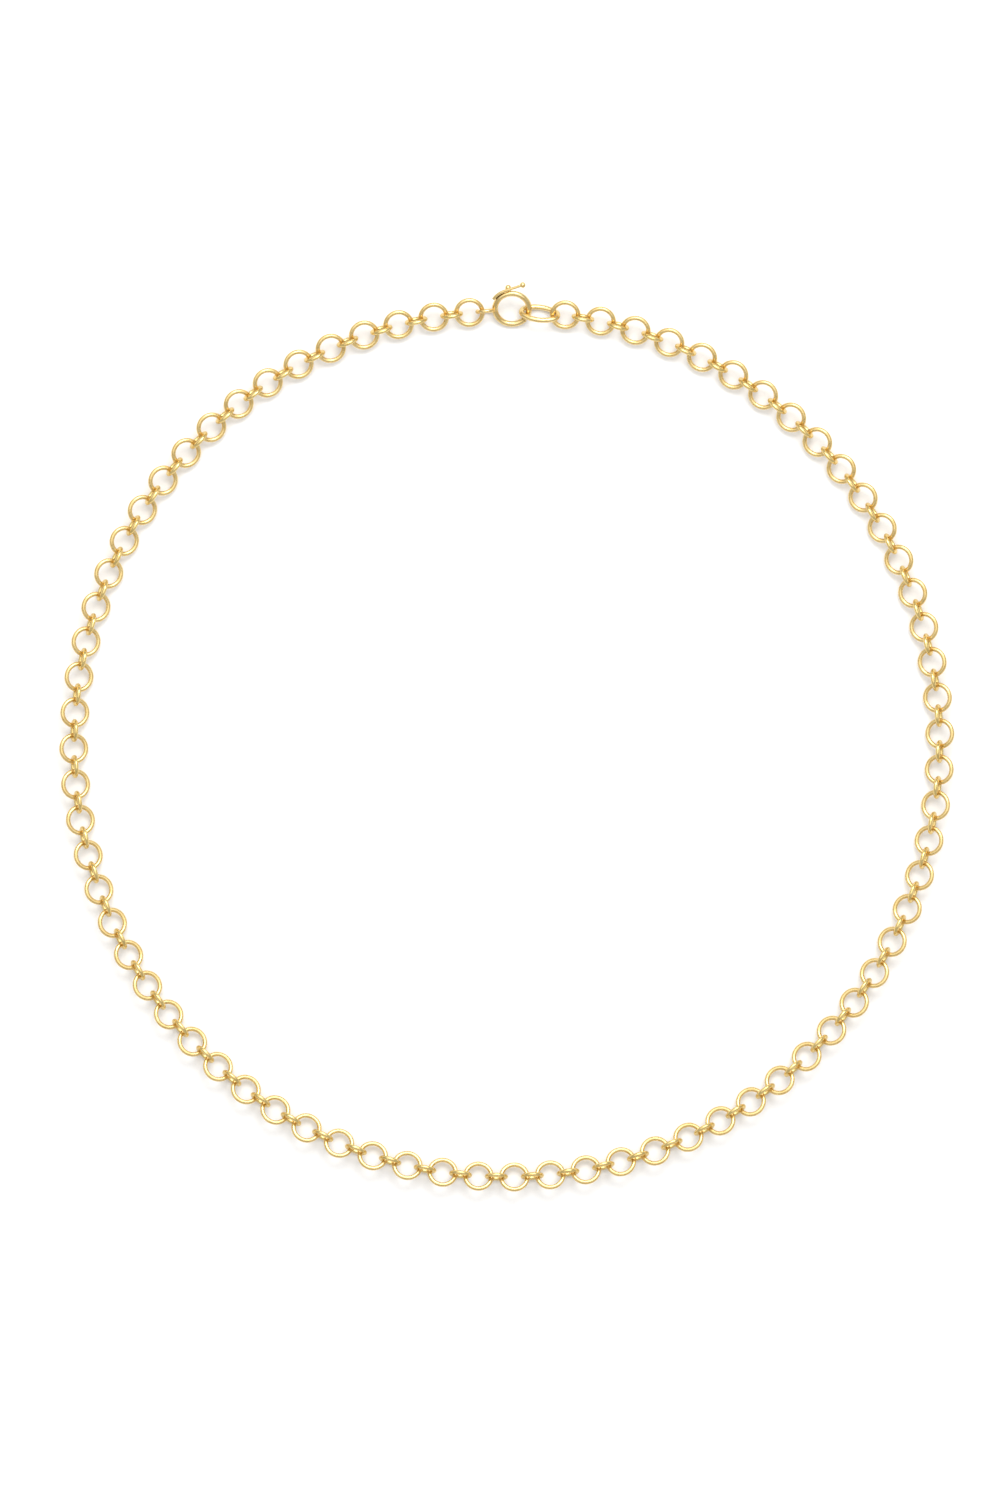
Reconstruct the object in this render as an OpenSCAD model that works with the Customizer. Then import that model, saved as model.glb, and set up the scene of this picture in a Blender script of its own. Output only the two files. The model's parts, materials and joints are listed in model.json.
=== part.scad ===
// Chain necklace with a bolt-ring clasp, lying closed on a flat surface.
// Millimetres. The origin is the middle of the loop, on the surface; +Z is up and the clasp lies towards +Y.
// Large round links lie nearly flat, and smaller round links stand on edge between them.

/* [Chain] */
// Sections of chain on each side of the front link
sections_per_side = 12; // [8:1:12]
// Large links in each section
links_per_section = 3; // [2:1:3]
// Radius of a large link, to the middle of its wire
ring_mid_r = 2.21; // [2.1:0.01:2.4]
// Wire diameter of a large link
ring_wire_d = 0.76; // [0.6:0.01:0.8]
// Radius of a small connecting link, to the middle of its wire
connector_mid_r = 1.6; // [1.5:0.01:1.8]
// Wire diameter of a connecting link
connector_wire_d = 0.7; // [0.5:0.01:0.75]
// Play between each pair of linked wires when the chain is drawn out
link_slack = 0.06; // [0.03:0.01:0.15]
// Roll of the large links about the run of the chain, outer edge up
ring_tilt = 23; // [0:1:30]
// Lean of the connecting links from upright, towards the middle of the loop
connector_lean = 13; // [0:1:25]

/* [Clasp ring] */
// Distance between the last large links on the two sides of the clasp
clasp_span = 16.1; // [16:0.05:16.3]
// Radius of the clasp ring, to the middle of its tube
clasp_mid_r = 2.86; // [2.8:0.01:2.9]
// Outside diameter of the clasp ring's tube
clasp_tube_d = 0.97; // [0.95:0.01:1]
// Wall of the tube
clasp_wall = 0.1; // [0.08:0.01:0.11]
// Roll of the clasp ring, outer edge up
clasp_tilt = 29; // [27:1:29]
// Clasp ring's centre, to the left of the loop's middle line
clasp_left = 0.9; // [0.85:0.01:0.95]
// Clasp ring's centre, outside the circle of the links
clasp_out = 0.36; // [0.3:0.01:0.4]
// Width of the gate in the tube
gate_w = 1; // [0.95:0.01:1]
// Direction of the gate from the clasp ring's centre
gate_angle = -34; // [-36:1:-32]
// Width of the slot that the trigger's post runs in
slot_w = 0.26; // [0.24:0.01:0.3]

/* [Bolt and trigger] */
// Turn of the trigger that opens the gate
trigger_travel = 25; // [20:1:25]
// Diameter of the sliding bolt wire
bolt_d = 0.68; // [0.6:0.01:0.7]
// Diameter of the trigger's arm at its thick end
arm_d = 0.5; // [0.4:0.01:0.52]
// Diameter of the trigger's arm beside its ball
arm_tip_d = 0.42; // [0.3:0.01:0.44]
// Diameter of the trigger's ball
trigger_ball_d = 0.98; // [0.85:0.01:1]
// Diameter of the fixed thumb ball
thumb_ball_d = 1.04; // [0.9:0.01:1.06]

/* [Eye and end link] */
// Radius of the soldered eye, to the middle of its wire
eye_mid_r = 1.38; // [1.35:0.01:1.4]
// Wire diameter of the eye
eye_wire_d = 0.62; // [0.5:0.01:0.64]
// Wire diameter of the oval end link
end_link_wire_d = 0.88; // [0.8:0.01:0.9]
// Half of the end link's length, to the middle of its wire
end_link_half_l = 3.06; // [3.04:0.01:3.1]
// Half of the end link's width, to the middle of its wire
end_link_half_w = 1.65; // [1.6:0.01:1.7]
// Radius of the end link's tight ends
end_link_end_r = 1.1; // [1.05:0.01:1.15]

/* [Hidden] */
$fn = 48;
cut = 4;  // longer than any wall that a cutter goes through

// The chain. The pitch is the distance between two large links that share a connecting link.
ring_bore_r = ring_mid_r - ring_wire_d / 2;
connector_bore_r = connector_mid_r - connector_wire_d / 2;
pitch = 2 * (ring_bore_r + connector_bore_r - link_slack);
pitches_per_side = sections_per_side * links_per_section;
ring_count = 2 * pitches_per_side + 2;

// Radius of the circle on which the link centres and the clasp's gap close into a full turn
function turn_at(r) = 2 * ((ring_count - 1) * asin(pitch / 2 / r) + asin(clasp_span / 2 / r));
function closing_r(low, high, rounds) =
    let (mid = (low + high) / 2)
    rounds == 0 ? mid
    : turn_at(mid) > 360 ? closing_r(mid, high, rounds - 1)
    : closing_r(low, mid, rounds - 1);
loop_r = closing_r(clasp_span, ring_count * pitch, 40);
step_angle = 2 * asin(pitch / 2 / loop_r);
connector_circle_r = loop_r * cos(step_angle / 2);
chain_z = connector_mid_r * cos(connector_lean) + connector_wire_d / 2;

// Angle from the front of the loop to the n-th large link and to the connecting link before it
function ring_angle(n) = (n - 0.5) * step_angle;
function connector_angle(n) = (n - 1) * step_angle;

// The clasp
clasp_pos = [-clasp_left, loop_r + clasp_out, chain_z];
tube_bore_d = clasp_tube_d - 2 * clasp_wall;
bolt_r_in = clasp_mid_r - bolt_d / 2;
gate_half_angle = asin(gate_w / 2 / bolt_r_in);
bolt_overlap = 1.5;      // degrees of bolt seated in the far end of the tube
bolt_tip_angle = gate_angle - gate_half_angle - bolt_overlap;
bolt_tail_angle = 126;
post_angle = 118;        // where the trigger's post stands on the bolt
post_d = 0.2;
arm_lift = 22;           // direction of the post above the ring's plane, seen along the tube
arm_reach = 0.91;        // from the middle of the tube to the middle of the arm
arm_r = clasp_mid_r + arm_reach * cos(arm_lift);
arm_z = arm_reach * sin(arm_lift);
arm_start_angle = 112;   // where the straight end leaves the curved part
arm_end_angle = 149.5;   // the open end, above the eye
arm_tip_l = 3.32;        // straight part, from the curve to the middle of the ball
arm_socket_d = 0.28;     // open end of the arm
arm_socket_l = 0.35;
slot_margin = 3;         // degrees of slot past each end of the post's travel
thumb_ball_angle = 101.5;
thumb_ball_reach = 1.02; // from the middle of the tube to the middle of the ball
thumb_ball_drop = 34;    // direction of the ball below the ring's plane
thumb_neck_d = 0.5;
spring_coils = 9;
spring_wire_d = 0.1;
spring_mid_r = 0.27;
spring_start_angle = bolt_tail_angle + 1;
spring_end_angle = 192;
plug_angle = 10;         // length of the plug that the spring stands on, in degrees
plug_play = 0.03;        // the plug's diameter is this much less than the tube's bore

// The eye, on the clasp ring's left side, and the end link on its right side
eye_angle = 187.5;
eye_turn = -6;           // the eye points at the first link
eye_lean = 3;            // from upright, towards the middle of the loop
eye_offset = -1.55;      // from the middle of the tube to the middle of the eye
end_link_pos = [3.74, loop_r - 0.34, 1.72];
end_link_turn = -6;
end_link_pitch = 3;
end_link_lean = 43;

// Colours
gold = [0.93, 0.76, 0.38];
pale_gold = [0.96, 0.82, 0.5];
steel = [0.75, 0.75, 0.78];

// Node names
function two_digits(n) = n < 10 ? str("0", n) : str(n);
function section_names(prefix) = [for (s = [1 : sections_per_side]) str(prefix, two_digits(s))];

// A round wire ring in the XY plane
module wire_ring(mid_r, wire_d) {
    rotate_extrude()
        translate([mid_r, 0])
            circle(d = wire_d);
}

// An arc of round wire in the XY plane, from one angle to another
module wire_arc(mid_r, wire_d, from, to) {
    rotate([0, 0, from])
        rotate_extrude(angle = to - from)
            translate([mid_r, 0])
                circle(d = wire_d);
}

// Stands its children on the loop at an angle from the front: X runs along the chain, Y points outwards.
// A side of 1 is the loop's left half, seen from above with the clasp at the top, and -1 is its right half.
module on_loop(r, angle, side) {
    rotate([0, 0, 180 - side * angle])
        translate([0, r, chain_z])
            children();
}

module ring(n, side) {
    on_loop(loop_r, ring_angle(n), side)
        rotate([ring_tilt, 0, 0])
            wire_ring(ring_mid_r, ring_wire_d);
}

module connector(n, side) {
    on_loop(connector_circle_r, connector_angle(n), side)
        rotate([90 + connector_lean, 0, 0])
            wire_ring(connector_mid_r, connector_wire_d);
}

// The large links of one section, and the connecting links that join it to the section before
module section_rings(s, side) {
    color(gold)
        for (k = [1 : links_per_section])
            ring((s - 1) * links_per_section + k + 1, side);
}

module section_connectors(s, side) {
    color(pale_gold)
        for (k = [1 : links_per_section])
            connector((s - 1) * links_per_section + k + 1, side);
}

module front_rings() {
    color(gold) {
        ring(1, 1);
        ring(1, -1);
    }
}

module front_connector() {
    color(pale_gold)
        connector(1, 1);
}

// Places its children in the clasp ring's own frame: its axis is Z, and Y points outwards
module in_clasp() {
    translate(clasp_pos)
        rotate([clasp_tilt, 0, 0])
            children();
}

// Moves to a point of the tube's middle line: X points outwards, Y along the tube, Z up
module on_tube(angle) {
    rotate([0, 0, angle])
        translate([clasp_mid_r, 0, 0])
            children();
}

// Hollow ring with the gate at its side and the trigger's slot round its outside
module clasp_ring() {
    color(gold)
        in_clasp()
            difference() {
                rotate_extrude()
                    translate([clasp_mid_r, 0])
                        difference() {
                            circle(d = clasp_tube_d);
                            circle(d = tube_bore_d);
                        }
                on_tube(gate_angle)
                    cube([cut, gate_w, cut], center = true);
                trigger_slot();
            }
}

module trigger_slot() {
    from = post_angle - slot_margin;
    to = post_angle + trigger_travel + slot_margin;
    rotate([0, 0, from])
        rotate_extrude(angle = to - from)
            translate([clasp_mid_r, 0])
                rotate(arm_lift)
                    translate([0, -slot_w / 2])
                        square([clasp_tube_d, slot_w]);
}

// Small ring soldered to the clasp ring's outside, which holds the first large link
module clasp_eye() {
    color(gold)
        difference() {
            in_clasp()
                on_tube(eye_angle)
                    rotate([0, 0, -eye_angle])
                        rotate([-clasp_tilt, 0, 0])
                            rotate([0, 0, -eye_turn])
                                translate([eye_offset, 0, 0])
                                    rotate([90 + eye_lean, 0, 0])
                                        wire_ring(eye_mid_r, eye_wire_d);
            in_clasp()
                wire_ring(clasp_mid_r, clasp_tube_d);
        }
}

// Fixed ball beside the slot, which the thumb pushes against
module thumb_ball() {
    color(gold)
        in_clasp() {
            on_thumb_axis()
                translate([thumb_ball_reach, 0, 0])
                    rotate([0, 90, 0])
                        sphere(d = thumb_ball_d);
            difference() {
                on_thumb_axis()
                    rotate([0, 90, 0])
                        cylinder(h = thumb_ball_reach, d = thumb_neck_d);
                wire_ring(clasp_mid_r, clasp_tube_d);
            }
        }
}

module on_thumb_axis() {
    on_tube(thumb_ball_angle)
        rotate([0, thumb_ball_drop, 0])
            children();
}

// Short plug soldered inside the tube, which the spring pushes against
module spring_plug() {
    color(gold)
        in_clasp()
            wire_arc(clasp_mid_r, tube_bore_d - plug_play, spring_end_angle, spring_end_angle + plug_angle);
}

// Coil spring bent round inside the tube, from the bolt's tail to the plug
module bolt_spring() {
    turn_steps = 10;
    sides = 6;
    steps = spring_coils * turn_steps;
    half_angle = asin(spring_wire_d / 2 / clasp_mid_r);
    from = spring_start_angle + half_angle;
    to = spring_end_angle - half_angle;
    function middle(i) =
        let (round_tube = 360 * i / turn_steps, along = from + (to - from) * i / steps,
             r = clasp_mid_r + spring_mid_r * cos(round_tube))
        [r * cos(along), r * sin(along), spring_mid_r * sin(round_tube)];
    function unit(v) = v / norm(v);
    function section(i) =
        let (ahead = unit(middle(i + 0.5) - middle(i - 0.5)),
             inward = unit([clasp_mid_r * cos(from + (to - from) * i / steps),
                            clasp_mid_r * sin(from + (to - from) * i / steps), 0] - middle(i)),
             across = unit(cross(ahead, inward)),
             up = cross(across, ahead))
        [for (s = [0 : sides - 1])
            middle(i) + spring_wire_d / 2 * (cos(360 * s / sides) * across + sin(360 * s / sides) * up)];
    points = [for (i = [0 : steps]) each section(i)];
    walls = [for (i = [0 : steps - 1], s = [0 : sides - 1])
        let (t = (s + 1) % sides)
        [i * sides + s, (i + 1) * sides + s, (i + 1) * sides + t, i * sides + t]];
    first_cap = [for (s = [0 : sides - 1]) s];
    last_cap = [for (s = [sides - 1 : -1 : 0]) steps * sides + s];
    color(steel)
        in_clasp()
            polyhedron(points = points, faces = concat(walls, [first_cap], [last_cap]));
}

// Curved wire that slides in the tube and closes the gate
module bolt() {
    color(pale_gold)
        in_clasp()
            wire_arc(clasp_mid_r, bolt_d, bolt_tip_angle, bolt_tail_angle);
}

// Arm that lies along the outside of the clasp ring, with its post down through the slot
module trigger_arm() {
    color(gold)
        in_clasp()
            difference() {
                union() {
                    trigger_post();
                    translate([0, 0, arm_z])
                        wire_arc(arm_r, arm_d, arm_start_angle, arm_end_angle);
                    arm_straight();
                }
                on_tube(post_angle)
                    wire_bore();
                arm_socket();
            }
}

// The bolt's own space, so that the post ends on the bolt's surface
module wire_bore() {
    rotate([0, 0, -post_angle])
        translate([-clasp_mid_r * cos(post_angle), -clasp_mid_r * sin(post_angle), 0])
            wire_ring(clasp_mid_r, bolt_d);
}

module trigger_post() {
    on_tube(post_angle)
        rotate([0, 90 - arm_lift, 0])
            cylinder(h = arm_reach, d = post_d);
}

// Straight taper that leaves the curve at a tangent and ends in the ball
module arm_straight() {
    rotate([0, 0, arm_start_angle])
        translate([arm_r, 0, arm_z])
            rotate([90, 0, 0])
                cylinder(h = arm_tip_l - trigger_ball_d / 2 * 0.9, d1 = arm_d, d2 = arm_tip_d);
}

module arm_socket() {
    rotate([0, 0, arm_end_angle])
        translate([arm_r, 0, arm_z])
            rotate([90, 0, 0])
                translate([0, 0, -cut])
                    cylinder(h = cut + arm_socket_l, d = arm_socket_d);
}

// Ball at the trigger's tip
module trigger_ball() {
    color(gold)
        in_clasp()
            difference() {
                rotate([0, 0, arm_start_angle])
                    translate([arm_r, -arm_tip_l, arm_z])
                        sphere(d = trigger_ball_d);
                arm_straight();
            }
}

// Oval link of four tangent arcs: it hooks into the clasp ring and holds the last large link
module end_link() {
    end_c = end_link_half_l - end_link_end_r;
    spare = end_link_half_w - end_link_end_r;
    side_c = (end_c * end_c - spare * spare) / (2 * spare);
    side_r = end_link_half_w + side_c;
    join_angle = atan2(side_c, end_c);
    // a bead fills the narrow gap in each joint, so that the link is one solid
    gap = 0.5;
    bead_rise = 0.02;
    color(pale_gold)
        translate(end_link_pos)
            rotate([0, -end_link_pitch, end_link_turn])
                rotate([90 + end_link_lean, 0, 0])
                    for (turn = [0, 180])
                        rotate([0, 0, turn]) {
                            translate([end_c, 0, 0])
                                wire_arc(end_link_end_r, end_link_wire_d, gap - join_angle, join_angle - gap);
                            translate([0, -side_c, 0])
                                wire_arc(side_r, end_link_wire_d, join_angle + gap, 180 - join_angle - gap);
                            for (side = [-1, 1])
                                translate([end_c + end_link_end_r * cos(join_angle),
                                           side * end_link_end_r * sin(join_angle), 0])
                                    sphere(d = end_link_wire_d + bead_rise);
                        }
}

front_rings();
front_connector();
for (s = [1 : sections_per_side]) {
    section_rings(s, 1);
    section_connectors(s, 1);
    section_rings(s, -1);
    section_connectors(s, -1);
}
clasp_ring();
clasp_eye();
thumb_ball();
spring_plug();
bolt_spring();
bolt();
trigger_arm();
trigger_ball();
end_link();
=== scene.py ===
"""Chain necklace with a bolt-ring clasp: finished links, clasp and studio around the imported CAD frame."""
import json
import math

import bmesh
import bpy
from mathutils import Matrix, Vector


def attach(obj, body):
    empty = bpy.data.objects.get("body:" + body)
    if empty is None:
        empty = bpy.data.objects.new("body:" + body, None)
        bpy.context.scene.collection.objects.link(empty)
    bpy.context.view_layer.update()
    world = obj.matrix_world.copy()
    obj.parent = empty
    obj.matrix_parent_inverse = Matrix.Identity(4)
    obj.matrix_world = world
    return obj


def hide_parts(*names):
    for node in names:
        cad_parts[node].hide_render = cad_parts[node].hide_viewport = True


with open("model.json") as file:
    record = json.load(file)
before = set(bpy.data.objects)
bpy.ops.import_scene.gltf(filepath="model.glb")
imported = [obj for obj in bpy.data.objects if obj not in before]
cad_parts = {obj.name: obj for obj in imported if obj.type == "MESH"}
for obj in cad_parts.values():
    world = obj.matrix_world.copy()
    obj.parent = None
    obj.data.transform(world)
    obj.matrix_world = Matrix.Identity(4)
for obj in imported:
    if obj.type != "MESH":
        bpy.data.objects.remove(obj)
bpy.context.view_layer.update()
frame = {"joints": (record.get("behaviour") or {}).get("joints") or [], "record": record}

MM = 0.001
UP = Vector((0, 0, 1))

# ---------------------------------------------------------------- sizes, in millimetres, as in the CAD part
RING_MID_R = 2.21
RING_WIRE_D = 0.76
CONNECTOR_MID_R = 1.6
CONNECTOR_WIRE_D = 0.7
RING_TILT = 23
CONNECTOR_LEAN = 13
CLASP_MID_R = 2.86
CLASP_TUBE_D = 0.97
CLASP_WALL = 0.1
CLASP_TILT = 29
CLASP_LEFT = 0.9
CLASP_OUT = 0.36
GATE_W = 1.0
GATE_ANGLE = -34
SLOT_W = 0.26
TRIGGER_TRAVEL = 25
BOLT_D = 0.68
ARM_D = 0.5
ARM_TIP_D = 0.42
TRIGGER_BALL_D = 0.98
THUMB_BALL_D = 1.04
EYE_MID_R = 1.38
EYE_WIRE_D = 0.62
END_LINK_WIRE_D = 0.88
END_LINK_HALF_L = 3.06
END_LINK_HALF_W = 1.65
END_LINK_END_R = 1.1

BOLT_OVERLAP = 1.5
BOLT_TAIL_ANGLE = 126
POST_ANGLE = 118
POST_D = 0.2
ARM_LIFT = 22
ARM_REACH = 0.91
ARM_START_ANGLE = 112
ARM_END_ANGLE = 149.5
ARM_TIP_L = 3.32
ARM_SOCKET_D = 0.28
ARM_SOCKET_L = 0.35
SLOT_MARGIN = 3
THUMB_BALL_ANGLE = 101.5
THUMB_BALL_REACH = 1.02
THUMB_BALL_DROP = 34
THUMB_NECK_D = 0.5
SPRING_COILS = 9
SPRING_WIRE_D = 0.1
SPRING_MID_R = 0.27
SPRING_END_ANGLE = 192
PLUG_ANGLE = 10
PLUG_PLAY = 0.03
EYE_ANGLE = 187.5
EYE_TURN = -6
EYE_LEAN = 3
EYE_OFFSET = -1.55
END_LINK_LEFT_OUT_UP = (3.74, -0.34, 1.72)
END_LINK_TURN = -6
END_LINK_PITCH = 3
END_LINK_LEAN = 43

# ---------------------------------------------------------------- places that the frame gives
bodies = frame["record"]["behaviour"]["bodies"]
joints = {j["name"]: j for j in frame["joints"]}
SECTIONS = sum(name.startswith("left_") for name in bodies)
first_hinge = Vector(joints["left_fold_01"]["pos_m"])
second_hinge = Vector(joints["left_fold_02"]["pos_m"])
LOOP_R = math.hypot(first_hinge.x, first_hinge.y) / MM
CHAIN_Z = first_hinge.z / MM


def angle_from_front(p):
    """Degrees round the loop from its front, at -Y, for a point of the left half."""
    return math.degrees(math.atan2(-p.x, -p.y))


STEP_ANGLE = 2 * angle_from_front(first_hinge)
LINKS_PER_SECTION = round((angle_from_front(second_hinge) - angle_from_front(first_hinge)) / STEP_ANGLE)
CONNECTOR_CIRCLE_R = LOOP_R * math.cos(math.radians(STEP_ANGLE / 2))


# ---------------------------------------------------------------- transforms
def turn(axis, degrees):
    return Matrix.Rotation(math.radians(degrees), 4, axis)


def move(x, y, z):
    """A shift given in millimetres."""
    return Matrix.Translation(Vector((x, y, z)) * MM)


def on_loop(r, angle, side):
    """Stands a piece on the loop: X along the chain, Y outwards. Side 1 is left and -1 is right."""
    return turn("Z", 180 - side * angle) @ move(0, r, CHAIN_Z)


IN_CLASP = move(-CLASP_LEFT, LOOP_R + CLASP_OUT, CHAIN_Z) @ turn("X", CLASP_TILT)


def on_tube(angle):
    """A point of the clasp tube's middle line: X outwards, Y along the tube, Z up."""
    return turn("Z", angle) @ move(CLASP_MID_R, 0, 0)


# ---------------------------------------------------------------- mesh helpers
def finish_mesh(name, bm, body, material, replaces, matrix=None, bevel=None):
    """Turns a bmesh into a smooth-shaded piece, in world coordinates, that rides on its body."""
    if matrix is not None:
        bm.transform(matrix)
    bmesh.ops.recalc_face_normals(bm, faces=bm.faces)
    mesh = bpy.data.meshes.new(name)
    bm.to_mesh(mesh)
    bm.free()
    for polygon in mesh.polygons:
        polygon.use_smooth = True
    piece = bpy.data.objects.new(name, mesh)
    bpy.context.scene.collection.objects.link(piece)
    piece.data.materials.append(material)
    if bevel:
        edge = piece.modifiers.new("soft_edges", "BEVEL")
        edge.width = bevel * MM
        edge.segments = 3
        edge.limit_method = "ANGLE"
        edge.angle_limit = math.radians(50)
    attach(piece, body)
    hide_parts(*replaces)
    return piece


def add_loop(bm, centre, across, up, radius, sides):
    """One ring of vertices round a centre, in metres."""
    loop = []
    for s in range(sides):
        a = math.tau * s / sides
        loop.append(bm.verts.new(centre + radius * (math.cos(a) * across + math.sin(a) * up)))
    return loop


def bridge(bm, a, b, uv, u_from, u_to):
    """A band of quads between two vertex rings, with U along the wire and V round it."""
    n = len(a)
    for s in range(n):
        t = (s + 1) % n
        face = bm.faces.new((a[s], a[t], b[t], b[s]))
        v = (s / n, (s + 1) / n, (s + 1) / n, s / n)
        u = (u_from, u_from, u_to, u_to)
        for loop, at_u, at_v in zip(face.loops, u, v):
            loop[uv].uv = (at_u, at_v)


def tangents(points, closed):
    n = len(points)
    out = []
    for i in range(n):
        ahead = points[(i + 1) % n] if closed or i < n - 1 else points[i]
        behind = points[i - 1] if closed or i > 0 else points[i]
        out.append((ahead - behind).normalized())
    return out


def add_wire(bm, points, radii, sides, closed=False, up=UP, ends=("dome", "dome")):
    """Sweeps a round section along points, in metres. An end is a dome, flat or open."""
    uv = bm.loops.layers.uv.verify()
    ahead = tangents(points, closed)
    loops = []
    lengths = [0.0]
    for i, p in enumerate(points):
        across = ahead[i].cross(up).normalized()
        loops.append(add_loop(bm, p, across, across.cross(ahead[i]), radii[i], sides))
        if i:
            lengths.append(lengths[-1] + (p - points[i - 1]).length)
    for i in range(len(loops) - 1):
        bridge(bm, loops[i], loops[i + 1], uv, lengths[i] / MM, lengths[i + 1] / MM)
    if closed:
        last = lengths[-1] + (points[0] - points[-1]).length
        bridge(bm, loops[-1], loops[0], uv, lengths[-1] / MM, last / MM)
        return loops
    for end, shape in zip((0, -1), ends):
        outwards = ahead[end] * (1 if end else -1)
        across = ahead[end].cross(up).normalized()
        if shape == "dome":
            rise = across.cross(ahead[end])
            close_round(bm, loops[end], points[end], outwards, across, rise, radii[end], uv)
        elif shape == "flat":
            bm.faces.new(loops[end])
    return loops


def close_round(bm, loop, centre, outwards, across, up, radius, uv):
    """Closes a wire's end with a dome."""
    sides = len(loop)
    steps = 5
    before = loop
    for k in range(1, steps):
        a = math.pi / 2 * k / steps
        middle = centre + outwards * radius * math.sin(a)
        ring = add_loop(bm, middle, across, up, radius * math.cos(a), sides)
        bridge(bm, before, ring, uv, 0, 1)
        before = ring
    tip = bm.verts.new(centre + outwards * radius)
    for s in range(sides):
        bm.faces.new((before[s], before[(s + 1) % sides], tip))


def arc_points(radius, start, end, steps, height=0.0):
    """Points of an arc in the XY plane, in metres."""
    out = []
    for i in range(steps + 1):
        a = math.radians(start + (end - start) * i / steps)
        out.append(Vector((radius * math.cos(a), radius * math.sin(a), height)) * MM)
    return out


def add_lathe(bm, profile, matrix, sides=40):
    """Turns (distance, radius) pairs, in millimetres, round a frame's X axis, closed at both ends."""
    uv = bm.loops.layers.uv.verify()
    rings = []
    for x, r in profile[1:-1]:
        ring = []
        for s in range(sides):
            a = math.tau * s / sides
            ring.append(bm.verts.new(matrix @ (Vector((x, r * math.cos(a), r * math.sin(a))) * MM)))
        rings.append(ring)
    for i in range(len(rings) - 1):
        bridge(bm, rings[i], rings[i + 1], uv, profile[i + 1][0], profile[i + 2][0])
    for (x, _), ring in ((profile[0], rings[0]), (profile[-1], rings[-1])):
        tip = bm.verts.new(matrix @ (Vector((x, 0, 0)) * MM))
        for s in range(sides):
            bm.faces.new((ring[s], ring[(s + 1) % sides], tip))


# ---------------------------------------------------------------- materials
def new_node(tree, kind, **settings):
    node = tree.nodes.new(kind)
    for key, value in settings.items():
        setattr(node, key, value)
    return node


def noise(tree, coordinates, scale, detail, roughness=0.5, seed=None):
    node = new_node(tree, "ShaderNodeTexNoise", noise_dimensions="4D")
    node.inputs["Scale"].default_value = scale
    node.inputs["Detail"].default_value = detail
    node.inputs["Roughness"].default_value = roughness
    tree.links.new(coordinates, node.inputs["Vector"])
    if seed is not None:
        tree.links.new(seed, node.inputs["W"])
    return node.outputs["Fac"]


def span(tree, value, low, high, from_low=0.3, from_high=0.7):
    node = new_node(tree, "ShaderNodeMapRange")
    tree.links.new(value, node.inputs["Value"])
    node.inputs["From Min"].default_value = from_low
    node.inputs["From Max"].default_value = from_high
    node.inputs["To Min"].default_value = low
    node.inputs["To Max"].default_value = high
    return node.outputs["Result"]


def blend_colours(tree, factor, first, second):
    node = new_node(tree, "ShaderNodeMix", data_type="RGBA")
    tree.links.new(factor, node.inputs["Factor"])
    node.inputs["A"].default_value = (*first, 1)
    node.inputs["B"].default_value = (*second, 1)
    return node.outputs["Result"]


def wire_metal(name, light, deep, smooth, dull, draw_marks, pits):
    """Polished wire: slow changes of colour and gloss, fine draw marks along the wire, and small dents."""
    material = bpy.data.materials.new(name)
    material.use_nodes = True
    tree = material.node_tree
    shader = tree.nodes["Principled BSDF"]
    place = new_node(tree, "ShaderNodeTexCoord")
    piece = new_node(tree, "ShaderNodeObjectInfo")
    seed = new_node(tree, "ShaderNodeMath", operation="MULTIPLY")
    seed.inputs[1].default_value = 40
    tree.links.new(piece.outputs["Random"], seed.inputs[0])
    seed = seed.outputs["Value"]
    along = new_node(tree, "ShaderNodeMapping")
    along.inputs["Scale"].default_value = (1.2, 46, 1)
    tree.links.new(place.outputs["UV"], along.inputs["Vector"])
    solid = place.outputs["Object"]
    tone = noise(tree, solid, 900, 3, seed=seed)
    colour = blend_colours(tree, span(tree, tone, 0, 1), light, deep)
    tree.links.new(colour, shader.inputs["Base Color"])
    gloss = noise(tree, solid, 2600, 5, 0.6, seed)
    tree.links.new(span(tree, gloss, smooth, dull), shader.inputs["Roughness"])
    marks = noise(tree, along.outputs["Vector"], 1.0, 4, 0.65, seed)
    dents = noise(tree, solid, 3600, 2, 0.5, seed)
    fine = new_node(tree, "ShaderNodeBump")
    fine.inputs["Strength"].default_value = draw_marks
    fine.inputs["Distance"].default_value = 0.004 * MM
    tree.links.new(marks, fine.inputs["Height"])
    broad = new_node(tree, "ShaderNodeBump")
    broad.inputs["Strength"].default_value = pits
    broad.inputs["Distance"].default_value = 0.02 * MM
    tree.links.new(dents, broad.inputs["Height"])
    tree.links.new(fine.outputs["Normal"], broad.inputs["Normal"])
    tree.links.new(broad.outputs["Normal"], shader.inputs["Normal"])
    shader.inputs["Metallic"].default_value = 1
    shader.inputs["Specular Tint"].default_value = (1.0, 0.93, 0.78, 1)
    return material


LARGE_LINK_GOLD = wire_metal(
    "large_link_gold", (0.83, 0.63, 0.29), (0.72, 0.51, 0.20), 0.23, 0.33, 0.25, 0.25
)
SMALL_LINK_GOLD = wire_metal(
    "small_link_gold", (0.83, 0.64, 0.28), (0.70, 0.51, 0.19), 0.20, 0.31, 0.25, 0.3
)
CLASP_GOLD = wire_metal(
    "clasp_gold", (0.83, 0.64, 0.31), (0.72, 0.52, 0.21), 0.18, 0.28, 0.2, 0.2
)
SPRING_STEEL = wire_metal(
    "spring_steel", (0.60, 0.60, 0.62), (0.50, 0.50, 0.53), 0.25, 0.40, 0.4, 0.2
)


# ---------------------------------------------------------------- chain
WIRE_SIDES = 24
RING_STEPS = 84
SEAM_RISE = 0.012
SEAM_HALF_ANGLE = 3.0
RING_SEAM_ANGLE = 4
CONNECTOR_SEAM_ANGLE = 260


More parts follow.
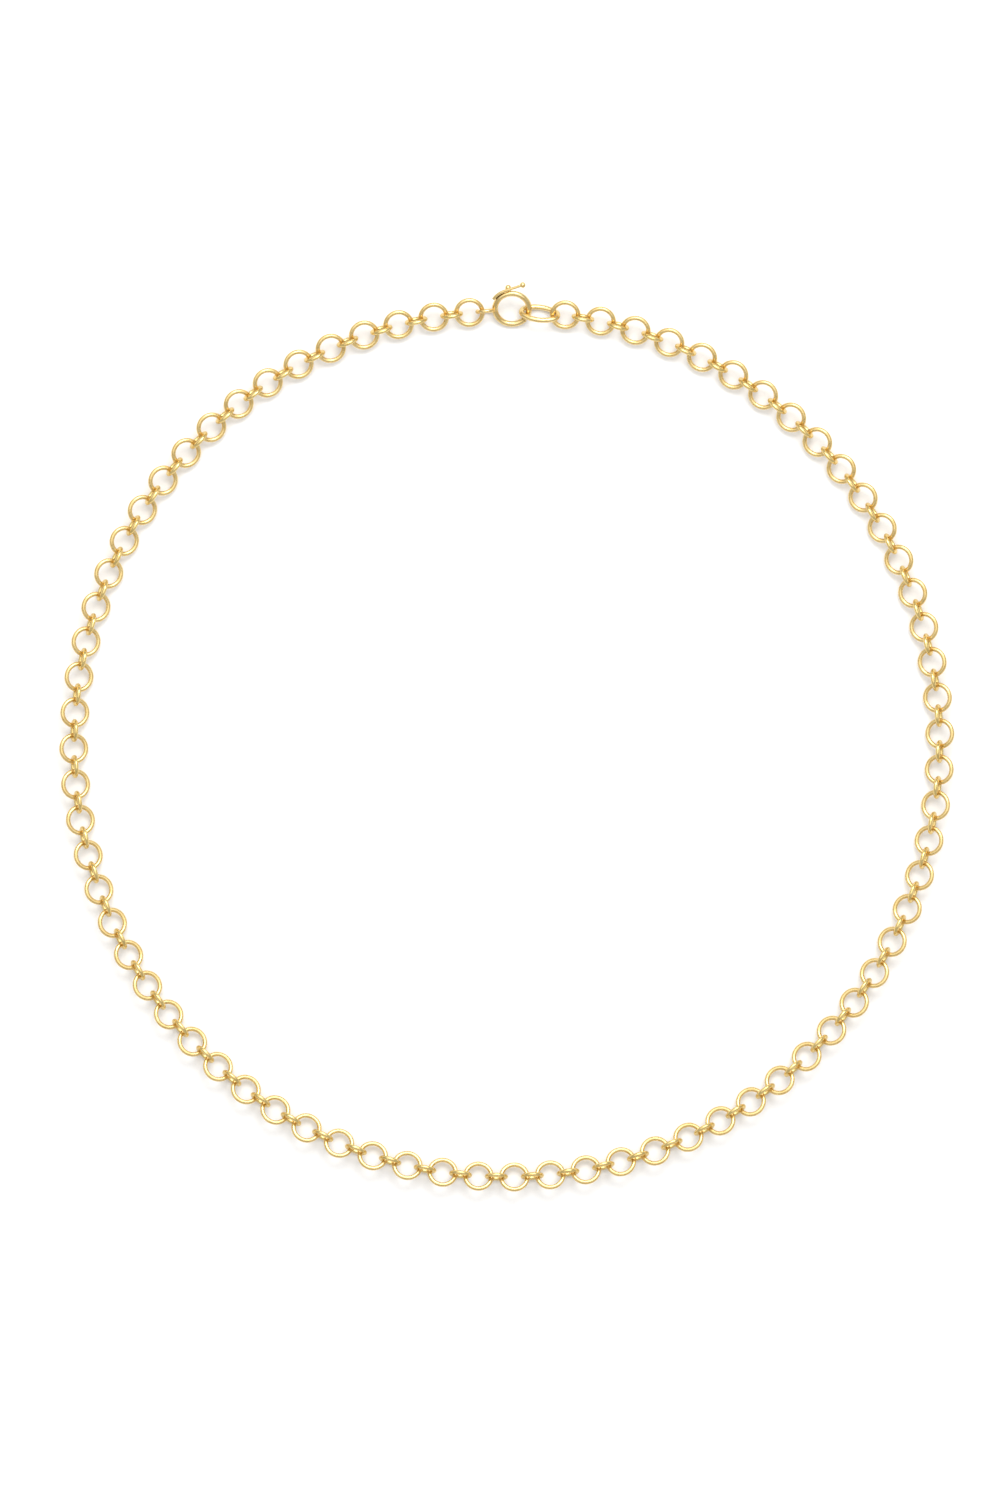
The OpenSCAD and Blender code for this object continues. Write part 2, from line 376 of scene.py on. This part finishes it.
def link_mesh(mid_r, wire_d, seam_angle):
    """One round link, with the faint swelling of its soldered seam."""
    bm = bmesh.new()
    points = arc_points(mid_r, 0, 360, RING_STEPS)[:-1]
    radii = []
    for i in range(RING_STEPS):
        off = (360 * i / RING_STEPS - seam_angle + 180) % 360 - 180
        swell = 1 + SEAM_RISE * math.exp(-((off / SEAM_HALF_ANGLE) ** 2))
        radii.append(wire_d / 2 * swell * MM)
    add_wire(bm, points, radii, WIRE_SIDES, closed=True)
    return bm


def add_ring(name, n, side, body, node):
    angle = (n - 0.5) * STEP_ANGLE
    place = on_loop(LOOP_R, angle, side) @ turn("X", RING_TILT)
    bm = link_mesh(RING_MID_R, RING_WIRE_D, RING_SEAM_ANGLE * side)
    finish_mesh(name, bm, body, LARGE_LINK_GOLD, [node], place)


def add_connector(name, n, side, body, node):
    angle = (n - 1) * STEP_ANGLE
    place = on_loop(CONNECTOR_CIRCLE_R, angle, side) @ turn("X", 90 + CONNECTOR_LEAN)
    bm = link_mesh(CONNECTOR_MID_R, CONNECTOR_WIRE_D, CONNECTOR_SEAM_ANGLE)
    finish_mesh(name, bm, body, SMALL_LINK_GOLD, [node], place)


def add_chain():
    add_ring("left_large_link_01", 1, 1, "front", "front_rings")
    add_ring("right_large_link_01", 1, -1, "front", "front_rings")
    add_connector("front_small_link", 1, 1, "front", "front_connector")
    for hand, side in (("left", 1), ("right", -1)):
        for section in range(1, SECTIONS + 1):
            body = f"{hand}_{section:02d}"
            for k in range(LINKS_PER_SECTION):
                n = (section - 1) * LINKS_PER_SECTION + k + 2
                add_ring(f"{hand}_large_link_{n:02d}", n, side, body, f"{hand}_rings_{section:02d}")
                connectors = f"{hand}_connectors_{section:02d}"
                add_connector(f"{hand}_small_link_{n:02d}", n, side, body, connectors)


# ---------------------------------------------------------------- clasp
TUBE_ROWS_BEFORE_SLOT = 64
TUBE_ROWS_AT_SLOT = 16
TUBE_ROWS_AFTER_SLOT = 84
EYE_FILLET_RISE = 0.09
EYE_FILLET_L = 0.42
THUMB_FOOT_D = 0.72
TRIGGER_COLLAR_L = 0.22
TRIGGER_COLLAR_RISE = 0.03
POST_FILLET_RISE = 0.06
POST_FILLET_L = 0.05
STEPS_PER_COIL = 20


def slot_half_angle(radius):
    return math.degrees(math.asin(SLOT_W / 2 / radius))


def gate_half_angle(radius):
    return math.degrees(math.asin(GATE_W / 2 / radius))


def add_clasp_ring():
    """Hollow tube bent into a ring. Its two skins are grids that leave out the slot and stop at the gate."""
    bm = bmesh.new()
    uv = bm.loops.layers.uv.verify()
    slot_from = POST_ANGLE - SLOT_MARGIN
    slot_to = POST_ANGLE + TRIGGER_TRAVEL + SLOT_MARGIN
    gate_end = gate_half_angle(CLASP_MID_R)
    whole_from = GATE_ANGLE + gate_end
    whole_to = GATE_ANGLE + 360 - gate_end
    stops = [
        (whole_from, slot_from, TUBE_ROWS_BEFORE_SLOT),
        (slot_from, slot_to, TUBE_ROWS_AT_SLOT),
        (slot_to, whole_to, TUBE_ROWS_AFTER_SLOT),
    ]
    along = [whole_from]
    for start, end, steps in stops:
        along += [start + (end - start) * (i + 1) / steps for i in range(steps)]
    slot_rows = range(TUBE_ROWS_BEFORE_SLOT, TUBE_ROWS_BEFORE_SLOT + TUBE_ROWS_AT_SLOT)
    slot_sides = 2
    round_sides = 30
    skins = []
    for radius in (CLASP_TUBE_D / 2, CLASP_TUBE_D / 2 - CLASP_WALL):
        half = slot_half_angle(radius)
        around = [ARM_LIFT - half + 2 * half * k / slot_sides for k in range(slot_sides + 1)]
        rest = 360 - 2 * half
        around += [ARM_LIFT + half + rest * k / round_sides for k in range(1, round_sides)]
        grid = []
        for i, u in enumerate(along):
            row = []
            for v in around:
                reach = CLASP_MID_R + radius * math.cos(math.radians(v))
                at = u
                if i == 0:
                    at = GATE_ANGLE + gate_half_angle(reach)
                elif i == len(along) - 1:
                    at = GATE_ANGLE + 360 - gate_half_angle(reach)
                height = radius * math.sin(math.radians(v))
                a = math.radians(at)
                point = Vector((reach * math.cos(a), reach * math.sin(a), height))
                row.append(bm.verts.new(point * MM))
            grid.append(row)
        skins.append(grid)
    sides = len(skins[0][0])
    millimetres = math.radians(1) * CLASP_MID_R
    for grid in skins:
        for i in range(len(along) - 1):
            for k in range(sides):
                if i in slot_rows and k < slot_sides:
                    continue
                j = (k + 1) % sides
                face = bm.faces.new((grid[i][k], grid[i + 1][k], grid[i + 1][j], grid[i][j]))
                corners = ((i, k), (i + 1, k), (i + 1, k + 1), (i, k + 1))
                for loop, (at_i, at_k) in zip(face.loops, corners):
                    loop[uv].uv = (along[at_i] * millimetres, at_k / sides)
    outer, inner = skins
    for i in (0, len(along) - 1):
        for k in range(sides):
            j = (k + 1) % sides
            bm.faces.new((outer[i][k], outer[i][j], inner[i][j], inner[i][k]))
    first, last = slot_rows[0], slot_rows[-1] + 1
    for i in slot_rows:
        for k in (0, slot_sides):
            bm.faces.new((outer[i][k], outer[i + 1][k], inner[i + 1][k], inner[i][k]))
    for i in (first, last):
        for k in range(slot_sides):
            bm.faces.new((outer[i][k], outer[i][k + 1], inner[i][k + 1], inner[i][k]))
    finish_mesh(
        "clasp_tube", bm, "clasp", CLASP_GOLD, ["clasp_ring"], IN_CLASP, bevel=0.03
    )


def add_eye():
    """Upright eye whose ends run into the tube's wall, with a solder fillet round each end."""
    middle = IN_CLASP @ on_tube(EYE_ANGLE) @ turn("Z", -EYE_ANGLE) @ turn("X", -CLASP_TILT)
    place = middle @ turn("Z", -EYE_TURN) @ move(EYE_OFFSET, 0, 0) @ turn("X", 90 + EYE_LEAN)
    to_clasp = IN_CLASP.inverted() @ place
    steps = 120
    inside = CLASP_TUBE_D / 2 * 0.92
    kept = []
    for i in range(steps):
        a = 360 * i / steps
        point = Vector((EYE_MID_R * math.cos(math.radians(a)), EYE_MID_R * math.sin(math.radians(a)), 0)) * MM
        at = to_clasp @ point / MM
        if math.hypot(math.hypot(at.x, at.y) - CLASP_MID_R, at.z) > inside:
            kept.append(a if a > 180 else a + 360)
    kept.sort()
    start, end = kept[0], kept[-1]
    rows = 72
    points = arc_points(EYE_MID_R, start, end, rows)
    radii = []
    for i in range(rows + 1):
        to_end = min(i, rows - i) * math.radians((end - start) / rows) * EYE_MID_R
        fillet = EYE_FILLET_RISE * math.exp(-((to_end / EYE_FILLET_L) ** 2))
        radii.append((EYE_WIRE_D / 2 + fillet) * MM)
    bm = bmesh.new()
    add_wire(bm, points, radii, WIRE_SIDES, ends=("flat", "flat"))
    finish_mesh("clasp_eye_ring", bm, "clasp", CLASP_GOLD, ["clasp_eye"], place)


def ball_profile(centre, ball_d, neck_d, foot, foot_d, collar=0.0):
    """Profile of a ball on a neck that flares into a foot, from the foot to the ball's far side."""
    radius = ball_d / 2
    neck = neck_d / 2
    meets = math.asin(min(1, neck / radius))
    profile = [(foot, 0), (foot, foot_d / 2)]
    waist = centre - radius * math.cos(meets)
    for k in range(1, 7):
        share = k / 6
        flare = (foot_d / 2 - neck) * (1 - share) ** 2.2
        radius_here = neck + flare + collar * math.sin(math.pi * share)
        profile.append((foot + (waist - foot) * share, radius_here))
    steps = 18
    for k in range(1, steps):
        a = meets + (math.pi - meets) * k / steps
        profile.append((centre - radius * math.cos(a), radius * math.sin(a)))
    profile.append((centre + radius, 0))
    return profile


def add_thumb_ball():
    bm = bmesh.new()
    foot = CLASP_TUBE_D / 2 - CLASP_WALL / 2
    profile = ball_profile(THUMB_BALL_REACH, THUMB_BALL_D, THUMB_NECK_D, foot, THUMB_FOOT_D)
    add_lathe(bm, profile, Matrix.Identity(4))
    place = IN_CLASP @ on_tube(THUMB_BALL_ANGLE) @ turn("Y", THUMB_BALL_DROP)
    finish_mesh("clasp_thumb_ball", bm, "clasp", CLASP_GOLD, ["thumb_ball"], place)


def add_bolt():
    """Curved bolt. Its tip is domed, and it shows in the gate and through the slot."""
    tip = GATE_ANGLE - gate_half_angle(CLASP_MID_R - BOLT_D / 2) - BOLT_OVERLAP
    dome = math.degrees(BOLT_D / 2 / CLASP_MID_R)
    points = arc_points(CLASP_MID_R, tip + dome * 0.5, BOLT_TAIL_ANGLE - dome, 90)
    bm = bmesh.new()
    add_wire(bm, points, [BOLT_D / 2 * MM] * len(points), WIRE_SIDES)
    finish_mesh("sliding_bolt", bm, "trigger", CLASP_GOLD, ["bolt"], IN_CLASP)


def add_trigger():
    """Arm with an open hollow end, a straight tapering tip, its post to the bolt, and its ball."""
    arm_r = CLASP_MID_R + ARM_REACH * math.cos(math.radians(ARM_LIFT))
    arm_z = ARM_REACH * math.sin(math.radians(ARM_LIFT))
    bm = bmesh.new()
    points = arc_points(arm_r, ARM_END_ANGLE, ARM_START_ANGLE, 28, arm_z)
    radii = [ARM_D / 2 * MM] * len(points)
    straight = turn("Z", ARM_START_ANGLE) @ move(arm_r, 0, arm_z)
    steps = 14
    for k in range(1, steps + 1):
        points.append(straight @ (Vector((0, -ARM_TIP_L * k / steps, 0)) * MM))
        radii.append((ARM_D + (ARM_TIP_D - ARM_D) * k / steps) / 2 * MM)
    loops = add_wire(bm, points, radii, WIRE_SIDES, ends=("open", "flat"))
    add_socket(bm, loops[0], points[0], (points[0] - points[1]).normalized())
    add_post(bm)
    finish_mesh(
        "trigger_lever", bm, "trigger", CLASP_GOLD, ["trigger_arm"], IN_CLASP, bevel=0.02
    )
    bm = bmesh.new()
    foot = -TRIGGER_BALL_D / 2 - TRIGGER_COLLAR_L
    foot_d = ARM_TIP_D + 0.04
    profile = ball_profile(0, TRIGGER_BALL_D, ARM_TIP_D, foot, foot_d, TRIGGER_COLLAR_RISE)
    add_lathe(bm, profile, Matrix.Identity(4))
    place = IN_CLASP @ straight @ move(0, -ARM_TIP_L, 0) @ turn("Z", -90)
    finish_mesh(
        "trigger_tip_ball", bm, "trigger", CLASP_GOLD, ["trigger_ball"], place
    )


def add_socket(bm, rim, centre, outwards):
    """Closes the arm's open end with a bored hole."""
    uv = bm.loops.layers.uv.verify()
    mouth = []
    for v in rim:
        mouth.append(bm.verts.new(centre + (v.co - centre) * ARM_SOCKET_D / ARM_D))
    floor = [bm.verts.new(v.co - outwards * ARM_SOCKET_L * MM) for v in mouth]
    bridge(bm, rim, mouth, uv, 0, 1)
    bridge(bm, mouth, floor, uv, 1, 2)
    bm.faces.new(floor)


def add_post(bm):
    """Round post from the bolt out to the arm, with a small fillet under the arm."""
    post = on_tube(POST_ANGLE) @ turn("Y", -ARM_LIFT)
    start = BOLT_D / 2 * 0.96
    end = ARM_REACH
    steps = 10
    points = []
    radii = []
    for k in range(steps + 1):
        x = start + (end - start) * k / steps
        points.append(post @ (Vector((x, 0, 0)) * MM))
        to_arm = max(0.0, end - ARM_D / 2 - x)
        fillet = POST_FILLET_RISE * math.exp(-((to_arm / POST_FILLET_L) ** 2))
        radii.append((POST_D / 2 + fillet) * MM)
    add_wire(bm, points, radii, 20, ends=("flat", "flat"))


def add_spring_and_plug():
    """Coil spring inside the tube, from the bolt's tail to its plug."""
    start = BOLT_TAIL_ANGLE + 1 + math.degrees(SPRING_WIRE_D / 2 / CLASP_MID_R)
    end = SPRING_END_ANGLE - math.degrees(SPRING_WIRE_D / 2 / CLASP_MID_R)
    steps = SPRING_COILS * STEPS_PER_COIL
    points = []
    for i in range(steps + 1):
        round_tube = math.tau * i / STEPS_PER_COIL
        along = math.radians(start + (end - start) * i / steps)
        r = CLASP_MID_R + SPRING_MID_R * math.cos(round_tube)
        height = SPRING_MID_R * math.sin(round_tube)
        points.append(Vector((r * math.cos(along), r * math.sin(along), height)) * MM)
    bm = bmesh.new()
    side_on = math.radians((start + end) / 2 + 90)
    radial = Vector((math.cos(side_on), math.sin(side_on), 0))
    radii = [SPRING_WIRE_D / 2 * MM] * len(points)
    add_wire(bm, points, radii, 10, up=radial, ends=("flat", "flat"))
    finish_mesh(
        "bolt_coil_spring", bm, "clasp", SPRING_STEEL, ["bolt_spring"], IN_CLASP
    )
    bm = bmesh.new()
    points = arc_points(CLASP_MID_R, SPRING_END_ANGLE, SPRING_END_ANGLE + PLUG_ANGLE, 8)
    radius = ((CLASP_TUBE_D - PLUG_PLAY) / 2 - CLASP_WALL) * MM
    add_wire(bm, points, [radius] * len(points), WIRE_SIDES, ends=("flat", "flat"))
    finish_mesh(
        "spring_end_plug", bm, "clasp", CLASP_GOLD, ["spring_plug"], IN_CLASP, bevel=0.03
    )


def add_end_link():
    """Oval link of four tangent arcs."""
    end_c = END_LINK_HALF_L - END_LINK_END_R
    spare = END_LINK_HALF_W - END_LINK_END_R
    side_c = (end_c * end_c - spare * spare) / (2 * spare)
    side_r = END_LINK_HALF_W + side_c
    join = math.degrees(math.atan2(side_c, end_c))
    points = []
    for half in (0, 180):
        spin = turn("Z", half)
        end_arc = arc_points(END_LINK_END_R, -join, join, 26)[:-1]
        side_arc = arc_points(side_r, join, 180 - join, 28)[:-1]
        points += [spin @ (p + Vector((end_c, 0, 0)) * MM) for p in end_arc]
        points += [spin @ (p - Vector((0, side_c, 0)) * MM) for p in side_arc]
    bm = bmesh.new()
    add_wire(bm, points, [END_LINK_WIRE_D / 2 * MM] * len(points), 28, closed=True)
    x, out, z = END_LINK_LEFT_OUT_UP
    place = move(x, LOOP_R + out, z) @ turn("Z", END_LINK_TURN) @ turn("Y", -END_LINK_PITCH)
    place = place @ turn("X", 90 + END_LINK_LEAN)
    finish_mesh("oval_end_link", bm, "end_link", CLASP_GOLD, ["end_link"], place)


add_chain()
add_clasp_ring()
add_eye()
add_thumb_ball()
add_bolt()
add_trigger()
add_spring_and_plug()
add_end_link()


# ---------------------------------------------------------------- studio
def add_floor():
    half = 4.0
    bm = bmesh.new()
    corners = ((-half, -half), (half, -half), (half, half), (-half, half))
    bm.faces.new([bm.verts.new((x, y, 0)) for x, y in corners])
    mesh = bpy.data.meshes.new("floor")
    bm.to_mesh(mesh)
    bm.free()
    floor = bpy.data.objects.new("floor", mesh)
    bpy.context.scene.collection.objects.link(floor)
    material = bpy.data.materials.new("pale_floor")
    material.use_nodes = True
    shader = material.node_tree.nodes["Principled BSDF"]
    shader.inputs["Base Color"].default_value = (0.9, 0.9, 0.9, 1)
    shader.inputs["Roughness"].default_value = 0.9
    shader.inputs["Specular IOR Level"].default_value = 0.1
    floor.data.materials.append(material)


def add_light(name, direction, distance, size_x, size_y, radiance):
    """Soft box that faces the middle of the necklace. Radiance is what it shows in a mirror."""
    light = bpy.data.lights.new(name, "AREA")
    light.shape = "RECTANGLE"
    light.size = size_x
    light.size_y = size_y
    light.energy = radiance * math.pi * size_x * size_y
    lamp = bpy.data.objects.new(name, light)
    bpy.context.scene.collection.objects.link(lamp)
    towards = Vector(direction).normalized()
    lamp.location = towards * distance
    lamp.rotation_euler = (-towards).to_track_quat("-Z", "Y").to_euler()
    lamp.visible_camera = False


def add_world(level):
    world = bpy.data.worlds.new("studio")
    world.use_nodes = True
    world.node_tree.nodes["Background"].inputs["Color"].default_value = (level, level, level, 1)
    bpy.context.scene.world = world


def add_camera():
    """Long lens straight above, a little off the loop's centre and turned a little."""
    height = 2.0
    frame_length = 0.252
    roll = math.radians(1.39)
    centre = Matrix.Rotation(roll, 3, "Z") @ Vector((-1.15, -1.01, 0)) * MM
    data = bpy.data.cameras.new("camera")
    data.sensor_width = 36
    data.lens = data.sensor_width * (height - CHAIN_Z * MM) / frame_length
    data.clip_end = 20
    camera = bpy.data.objects.new("camera", data)
    bpy.context.scene.collection.objects.link(camera)
    camera.location = (centre.x, centre.y, height)
    camera.rotation_euler = (0, 0, roll)
    bpy.context.scene.camera = camera


add_floor()
add_world(0.62)
add_light("top_softbox", (0, 0.25, 0.95), 1.0, 1.7, 1.5, 0.95)
add_light("key_softbox", (0.1, 0.62, 0.8), 0.9, 0.6, 0.4, 6.0)
add_camera()
bpy.context.scene.view_settings.view_transform = "Standard"
